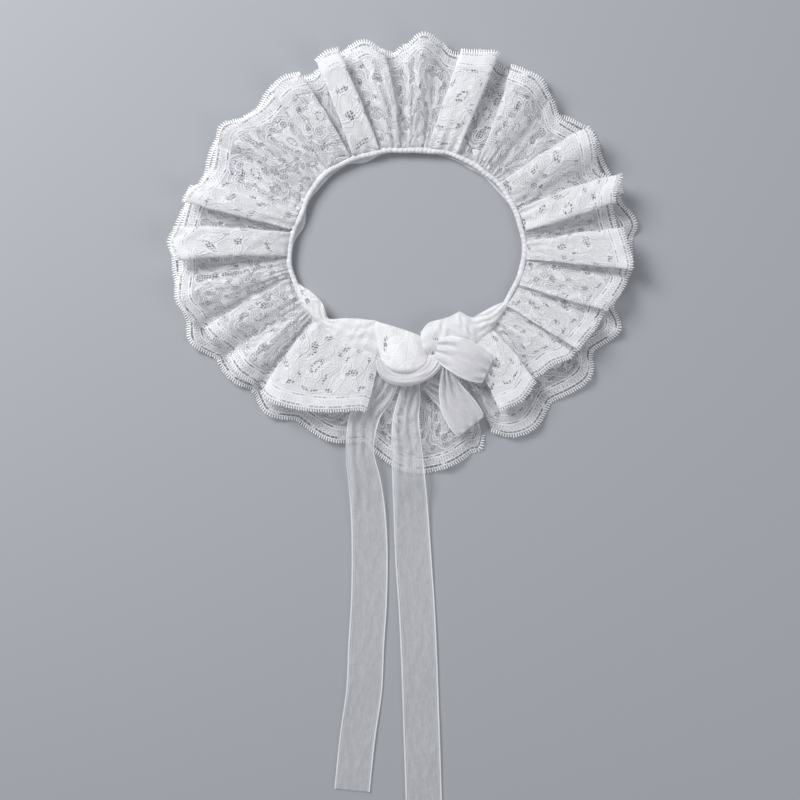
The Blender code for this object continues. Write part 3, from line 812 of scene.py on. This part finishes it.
FLAP_CLUSTERS = [
    Oval(9.0, 55.2, 1.9, 1.3, 0), Oval(17.0, 54.2, 3.0, 1.4, 12), Oval(92.0, 49.4, 6.0, 1.2, 5),
    Oval(15.0, 47.0, 4.0, 1.0, -4), Oval(211.5, 50.4, 3.0, 0.9, 55),
]
heading_cloth = lace_look("heading_doubled", (0.83, 0.83, 0.855), (0.95, 0.95, 0.965),
                          worn_edge=True)
flaps = []
for rows, seed, inner_z in ((LEFT_FLAP, 21, 6.6), (RIGHT_FLAP, 22, 7.4)):
    points, cut = heading_sheet(rows, inner_z, outer_z=6.6, fold=0.40, seed=seed)
    faces = grid_faces(*points.shape[:2])[:, ::-1]
    flaps.append((points.reshape(-1, 3), cut.reshape(-1, 2), faces))
# The left flap's end folds over the knot and hangs as a cowl.
points, cut = swag_points(COWL, count=40, crease=0.12, ends=0.05)
cut = np.stack([200.0 + cut[..., 1] * 0.8, 49.0 - cut[..., 0] * 0.75], axis=-1)
flaps.append((points.reshape(-1, 3), cut.reshape(-1, 2), grid_faces(*points.shape[:2])))
starts = np.cumsum([0] + [len(flap[0]) for flap in flaps])
flap_points = np.concatenate([flap[0] for flap in flaps])
flap_cut = np.concatenate([flap[1] for flap in flaps])
flap_faces = np.concatenate([flap[2] + start for flap, start in zip(flaps, starts)])
heading_front = put_piece("heading_front_lace", flap_points, flap_faces, heading_cloth, flap_cut,
                          heading_fields(flap_cut, FLAP_CLUSTERS))
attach(heading_front, "root")
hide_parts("heading_front")

EDGE_SPOTS = (120.0, 205.0, 236.0, 284.0, 318.0, 372.0)
EDGE_CLUSTERS = [Oval(spot, 58.6, 4.0, 0.8, 0) for spot in EDGE_SPOTS]
points, cut = heading_sheet(BACK_EDGE, inner_z=0.7, outer_z=0.6, fold=0.10, seed=23)
heading_back = put_piece(
    "heading_back_lace", points.reshape(-1, 3), grid_faces(*points.shape[:2])[:, ::-1],
    heading_cloth, cut.reshape(-1, 2), heading_fields(cut.reshape(-1, 2), EDGE_CLUSTERS),
)
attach(heading_back, "root")
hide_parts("heading_back")

# ---------------------------------------------------------------------------------------------
# Ribbon ties. One 21 mm sheer organza ribbon with satin selvages, tied in a bow over the band:
# two tails, a teardrop loop that hangs to the right, a wide loop over it and the knot.

RIBBON_WIDTH = 21.0
SELVAGE_FROM = (9.55, 9.75)
HEM_LINE = (8.75, 9.05)
ORGANZA_WARP_PITCH = 0.46
ORGANZA_WEFT_PITCH = 0.52
RibbonRow = namedtuple("RibbonRow", "x y z half_width gutter tilt")
LEFT_TAIL = [
    RibbonRow(-12.0, -74.5, 7.2, 6.0, 1.2, 0.0), RibbonRow(-16.5, -83.5, 6.8, 7.0, 1.0, 0.6),
    RibbonRow(-26.0, -96.0, 6.0, 8.6, 0.8, 0.8), RibbonRow(-29.0, -116.0, 5.6, 8.2, 1.4, 0.5),
    RibbonRow(-26.3, -134.0, 3.6, 9.4, 1.2, 0.0), RibbonRow(-24.4, -151.0, 1.5, 10.0, 0.5, 0.0),
    RibbonRow(-23.4, -174.0, 0.6, 10.4, 0.2, 0.0), RibbonRow(-23.8, -203.0, 0.6, 10.4, 0.2, 0.0),
    RibbonRow(-25.4, -229.0, 0.6, 10.4, 0.1, 0.0), RibbonRow(-26.6, -255.0, 0.6, 10.4, 0.2, 0.0),
    RibbonRow(-30.4, -282.0, 0.6, 10.3, 0.1, 0.0), RibbonRow(-33.6, -313.0, 0.6, 10.3, 0.1, 0.0),
]
RIGHT_TAIL = [
    RibbonRow(0.8, -75.0, 7.4, 4.6, 1.2, 0.0), RibbonRow(-0.2, -84.0, 7.0, 6.2, 1.4, 0.0),
    RibbonRow(-2.4, -98.0, 6.2, 7.6, 1.2, 0.3), RibbonRow(-2.0, -114.0, 5.8, 8.8, 1.2, 0.3),
    RibbonRow(-0.8, -132.0, 5.0, 9.5, 1.0, 0.0), RibbonRow(0.4, -150.0, 1.8, 10.0, 0.5, 0.0),
    RibbonRow(2.0, -180.0, 0.6, 10.5, 0.2, 0.0), RibbonRow(3.8, -206.0, 0.6, 10.5, 0.1, 0.0),
    RibbonRow(5.4, -240.0, 0.6, 10.5, 0.2, 0.0), RibbonRow(6.4, -270.0, 0.6, 10.5, 0.1, 0.0),
    RibbonRow(7.4, -300.0, 0.6, 10.5, 0.2, 0.0), RibbonRow(8.2, -326.0, 0.6, 10.5, 0.1, 0.0),
]
DROP_LOOP = [
    RibbonRow(20.4, -67.0, 12.4, 2.2, 0.2, 0.0), RibbonRow(21.4, -74.2, 12.0, 4.4, 0.3, 0.6),
    RibbonRow(23.8, -82.5, 11.4, 7.6, 0.6, 1.0), RibbonRow(27.4, -90.5, 10.6, 10.0, 0.8, 1.0),
    RibbonRow(31.4, -97.0, 9.6, 10.5, 0.6, 0.8), RibbonRow(34.4, -101.2, 8.4, 9.9, 0.2, 0.4),
    RibbonRow(35.2, -102.4, 7.2, 8.8, 0.0, 0.2), RibbonRow(32.0, -98.6, 6.2, 9.8, 0.0, 0.0),
    RibbonRow(27.0, -91.4, 6.4, 8.8, 0.2, 0.0), RibbonRow(18.5, -84.0, 6.8, 6.0, 0.3, 0.0),
    RibbonRow(9.0, -77.5, 7.6, 3.6, 0.3, 0.0),
]
WIDE_LOOP = [
    RibbonRow(15.0, -57.2, 13.8, 6.0, 0.6, 0.0), RibbonRow(21.0, -58.8, 15.4, 8.8, 1.0, 0.0),
    RibbonRow(27.5, -61.4, 16.4, 10.2, 1.2, 0.2), RibbonRow(34.0, -64.6, 16.2, 10.5, 0.7, 0.2),
    RibbonRow(39.8, -67.6, 14.6, 9.8, 0.2, 0.2), RibbonRow(43.6, -69.6, 12.8, 8.2, 0.0, 0.2),
    RibbonRow(44.8, -70.2, 11.8, 6.6, 0.0, 0.2), RibbonRow(38.5, -67.6, 11.0, 9.4, 0.0, 0.0),
    RibbonRow(28.5, -64.5, 11.4, 8.6, 0.2, 0.0), RibbonRow(17.5, -61.5, 12.0, 4.6, 0.3, 0.0),
]


def organza_look(name, open_share, tint_low, tint_high):
    """Sheer weave with a clouded moire, and a dense satin selvage along each side."""
    look = Look(name)
    uv = look.node("UVMap", uv_map="cut").outputs[0]
    cut = look.node("SeparateXYZ", ("Vector", uv))
    across, along = cut.outputs["X"], cut.outputs["Y"]
    side = look.math("ABSOLUTE", across)
    selvage = look.ramp(side, *SELVAGE_FROM)
    near, far = HEM_LINE
    hem_line = look.both(look.ramp(side, near - 0.05, near + 0.05),
                         look.ramp(side, far + 0.05, far - 0.05))
    warp = look.math("SINE", look.math("MULTIPLY", across, 2 * np.pi / ORGANZA_WARP_PITCH))
    weft = look.math("SINE", look.math("MULTIPLY", along, 2 * np.pi / ORGANZA_WEFT_PITCH))
    stretched = look.node("Mapping", ("Vector", uv), ("Scale", (0.30, 0.11, 1.0)))
    cloud = look.node("TexNoise", ("Vector", stretched.outputs[0]), ("Scale", 1.0),
                      ("Detail", 5.0), ("Roughness", 0.65), noise_dimensions="2D")
    speck = look.node("TexNoise", ("Vector", uv), ("Scale", 1.6), ("Detail", 4.0),
                      ("Roughness", 0.8), noise_dimensions="2D")
    weave = look.math("MULTIPLY_ADD", look.math("ADD", warp, weft), 0.07, 1 - open_share)
    weave = look.math("MULTIPLY_ADD", look.ramp(cloud.outputs["Fac"], 0.35, 0.7), 0.20, weave)
    weave = look.math("MULTIPLY_ADD", look.ramp(speck.outputs["Fac"], 0.3, 0.75), 0.20, weave)
    weave = look.math("SUBTRACT", weave, 0.18, clamp=True)
    solid = look.most(weave, look.both(selvage, 0.97), look.both(hem_line, 0.8))
    raised = look.math("MULTIPLY", look.math("MULTIPLY", warp, weft), 0.15)
    raised = look.math("ADD", raised, selvage)
    bump = look.node("Bump", ("Height", raised), ("Strength", 0.5), ("Distance", 0.0003))
    tint = look.node("MixRGB", ("Fac", selvage), ("Color1", (*tint_low, 1)),
                     ("Color2", (*tint_high, 1)))
    thread = look.node("BsdfPrincipled", ("Base Color", tint.outputs[0]),
                       ("Roughness", look.math("MULTIPLY_ADD", selvage, -0.12, 0.45)),
                       ("Normal", bump.outputs[0]), ("Sheen Weight", 0.4))
    glow = look.node("BsdfTranslucent", ("Color", tint.outputs[0]))
    cloth = look.node("MixShader", ("Fac", 0.3), (1, thread.outputs[0]), (2, glow.outputs[0]))
    clear = look.node("BsdfTransparent")
    mixed = look.node("MixShader", ("Fac", solid), (1, clear.outputs[0]), (2, cloth.outputs[0]))
    return look.finish(mixed.outputs[0])


def ribbon_sheet(rows, ripple, seed, columns=37, spacing=0.8):
    """A ribbon carried along a smooth line through its rows.

    Across it, the edges stand above the middle by its gutter, as a parabola, and the right
    edge above the left by its tilt. Slow ripples run across it. Where it is drawn in, three
    pinch pleats take up the width.
    """
    table = np.stack([column(rows, name) for name in RibbonRow._fields], axis=1)
    places = np.arange(len(rows), dtype=float)
    fine = np.linspace(0, len(rows) - 1, len(rows) * 40)
    path = curve_through(places, table, fine)
    steps = np.linalg.norm(np.diff(path[:, :3], axis=0), axis=1)
    run = np.concatenate([[0.0], np.cumsum(steps)])
    along = np.linspace(0, run[-1], max(int(run[-1] / spacing), 12))
    x, y, z, half, gutter, tilt = curve_through(places, table, np.interp(along, run, fine)).T
    z = np.maximum(z, 0.35)
    middle = np.stack([x + RING_CENTRE[0], y + RING_CENTRE[1], z], axis=-1)
    # The side vector comes from the table's plan direction, kept steady round a tight turn.
    way = np.stack([np.gradient(x), np.gradient(y)], axis=-1)
    first = way[len(way) // 4] / np.linalg.norm(way[len(way) // 4])
    turned = np.where((way @ first) < 0, -1.0, 1.0)[:, None]
    way = way * turned
    kernel = np.ones(9) / 9
    way = np.stack([np.convolve(np.pad(way[:, axis], 4, mode="edge"), kernel, "valid")
                    for axis in range(2)], axis=-1)
    way /= np.maximum(np.linalg.norm(way, axis=1), 1e-6)[:, None]
    side = np.stack([-way[:, 1], way[:, 0], np.zeros(len(way))], axis=-1)
    share = np.linspace(-1, 1, columns)
    rng = np.random.default_rng(seed)
    knots = np.arange(-20, run[-1] + 40, 16.0)
    wobble = curve_through(knots, rng.normal(0, 1, len(knots)), along)
    lean = curve_through(knots, rng.normal(0, 1, len(knots)), along)
    up = (gutter[:, None] * share**2 + tilt[:, None] * share / 2
          + ripple * (wobble[:, None] * (1 - share**2) + lean[:, None] * share * 0.6))
    spare = np.sqrt(np.maximum(RIBBON_WIDTH**2 - (2.1 * half) ** 2, 0.0)) / 14
    up = up + (spare[:, None] * (1 + 0.3 * np.sin(along / 5.0))[:, None]
               * np.cos(3 * np.pi * share + 0.8 * wobble[:, None]))
    points = middle[:, None] + side[:, None] * (half[:, None] * share)[..., None]
    points[..., 2] += up
    points[..., 2] = np.maximum(points[..., 2], 0.2)
    cut = np.stack([share * RIBBON_WIDTH / 2 + 0 * along[:, None], along[:, None] + 0 * share],
                   axis=-1)
    return points, cut


sheer = organza_look("organza_sheer", 0.54, (0.84, 0.845, 0.87), (0.96, 0.96, 0.965))
doubled = organza_look("organza_doubled", 0.14, (0.87, 0.87, 0.89), (0.96, 0.96, 0.97))
drop_organza = organza_look("organza_drop", 0.30, (0.86, 0.86, 0.885), (0.97, 0.97, 0.975))
RibbonPiece = namedtuple("RibbonPiece", "name node rows ripple look flat held")
RIBBON_PIECES = [
    RibbonPiece("ribbon_tail_left_organza", "ribbon_tail_left", LEFT_TAIL, 0.25, sheer,
                (0.021, 0.244), "laid"),
    RibbonPiece("ribbon_tail_right_organza", "ribbon_tail_right", RIGHT_TAIL, 0.25, sheer,
                (0.021, 0.252), "laid"),
    RibbonPiece("ribbon_drop_organza", "ribbon_loop_drop", DROP_LOOP, 0.2, drop_organza,
                (0.021, 0.082), "folded"),
    RibbonPiece("ribbon_wide_organza", "ribbon_loop_wide", WIDE_LOOP, 0.3, doubled,
                (0.021, 0.066), "folded"),
]
for number, each in enumerate(RIBBON_PIECES):
    points, cut = ribbon_sheet(each.rows, each.ripple, 40 + number)
    ribbon = put_piece(each.name, points.reshape(-1, 3), grid_faces(*points.shape[:2])[:, ::-1],
                       each.look, cut.reshape(-1, 2))
    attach(ribbon, "root")
    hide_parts(each.node)

# Knot. The ribbon's two ends cross and wrap once, under the left flap's hanging end. The wrap
# is a soft U-shaped swag of fine folds, drawn together at its left and right.

WRAP = [
    SwagRow(0.00, -3.0, -61.3, 13.2, 8.0, 0.0, 12.6),
    SwagRow(0.15, -2.8, -61.4, 14.4, 10.2, -0.3, 13.8),
    SwagRow(0.34, -1.8, -61.4, 16.2, 12.2, -1.0, 14.8),
    SwagRow(0.56, -0.6, -61.2, 18.2, 14.8, -2.0, 15.4),
    SwagRow(0.74, 0.2, -60.9, 19.6, 16.8, -2.9, 14.8),
    SwagRow(0.86, 0.6, -60.8, 20.3, 17.6, -3.4, 13.0),
    SwagRow(0.95, 0.6, -60.9, 20.4, 17.6, -3.4, 10.6),
    SwagRow(1.00, 0.6, -61.0, 19.8, 16.6, -3.2, 8.8),
]
points, cut = swag_points(WRAP, count=60, crease=0.40, ends=0.55)
knot = put_piece("ribbon_knot_organza", points.reshape(-1, 3), grid_faces(*points.shape[:2]),
                 doubled, cut.reshape(-1, 2))
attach(knot, "root")
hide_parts("ribbon_knot")

# ---------------------------------------------------------------------------------------------
# The room: a plain pale surface, soft studio light and a camera straight above.

VIEW_WIDTH = 464.0 * MM
VIEW_MIDDLE = (-1.8 * MM, 13.4 * MM)
LENS = 85.0
SENSOR_WIDTH = 36.0
FLOOR_HALF = 4.0
FLOOR_Z = -0.0004
FLOOR_COLOUR = (0.36, 0.375, 0.40, 1)
WORLD_COLOUR = (0.91, 0.925, 1.0, 1)
WORLD_STRENGTH = 0.28
LIGHTS_AIM = (0.0, 0.1, 0.0)

floor_look = Look("pale_floor")
floor_shader = floor_look.node("BsdfPrincipled", ("Base Color", FLOOR_COLOUR), ("Roughness", 0.9))
floor_material = floor_look.finish(floor_shader.outputs[0])
floor_mesh = bpy.data.meshes.new("floor")
corners = [(-FLOOR_HALF, -FLOOR_HALF, FLOOR_Z), (FLOOR_HALF, -FLOOR_HALF, FLOOR_Z),
           (FLOOR_HALF, FLOOR_HALF, FLOOR_Z), (-FLOOR_HALF, FLOOR_HALF, FLOOR_Z)]
floor_mesh.from_pydata(corners, [], [(0, 1, 2, 3)])
floor_mesh.materials.append(floor_material)
floor = bpy.data.objects.new("floor", floor_mesh)
bpy.context.scene.collection.objects.link(floor)

camera_data = bpy.data.cameras.new("camera")
camera_data.lens = LENS
camera_data.sensor_width = SENSOR_WIDTH
camera = bpy.data.objects.new("camera", camera_data)
camera.location = (*VIEW_MIDDLE, VIEW_WIDTH * LENS / SENSOR_WIDTH)
bpy.context.scene.collection.objects.link(camera)
bpy.context.scene.camera = camera

Lamp = namedtuple("Lamp", "name place size power")
LAMPS = [
    Lamp("key", (-0.75, 0.75, 0.85), 0.6, 19.0),
    Lamp("fill", (0.9, -0.3, 0.9), 0.9, 4.5),
]
for lamp in LAMPS:
    light = bpy.data.lights.new(lamp.name, "AREA")
    light.size = lamp.size
    light.energy = lamp.power
    made = bpy.data.objects.new(lamp.name, light)
    made.location = lamp.place
    toward = Vector(LIGHTS_AIM) - Vector(lamp.place)
    made.rotation_euler = toward.to_track_quat("-Z", "Y").to_euler()
    bpy.context.scene.collection.objects.link(made)

world = bpy.data.worlds.new("room")
world.use_nodes = True
background = world.node_tree.nodes["Background"]
background.inputs["Color"].default_value = WORLD_COLOUR
background.inputs["Strength"].default_value = WORLD_STRENGTH
bpy.context.scene.world = world
bpy.context.scene.view_settings.view_transform = "Standard"
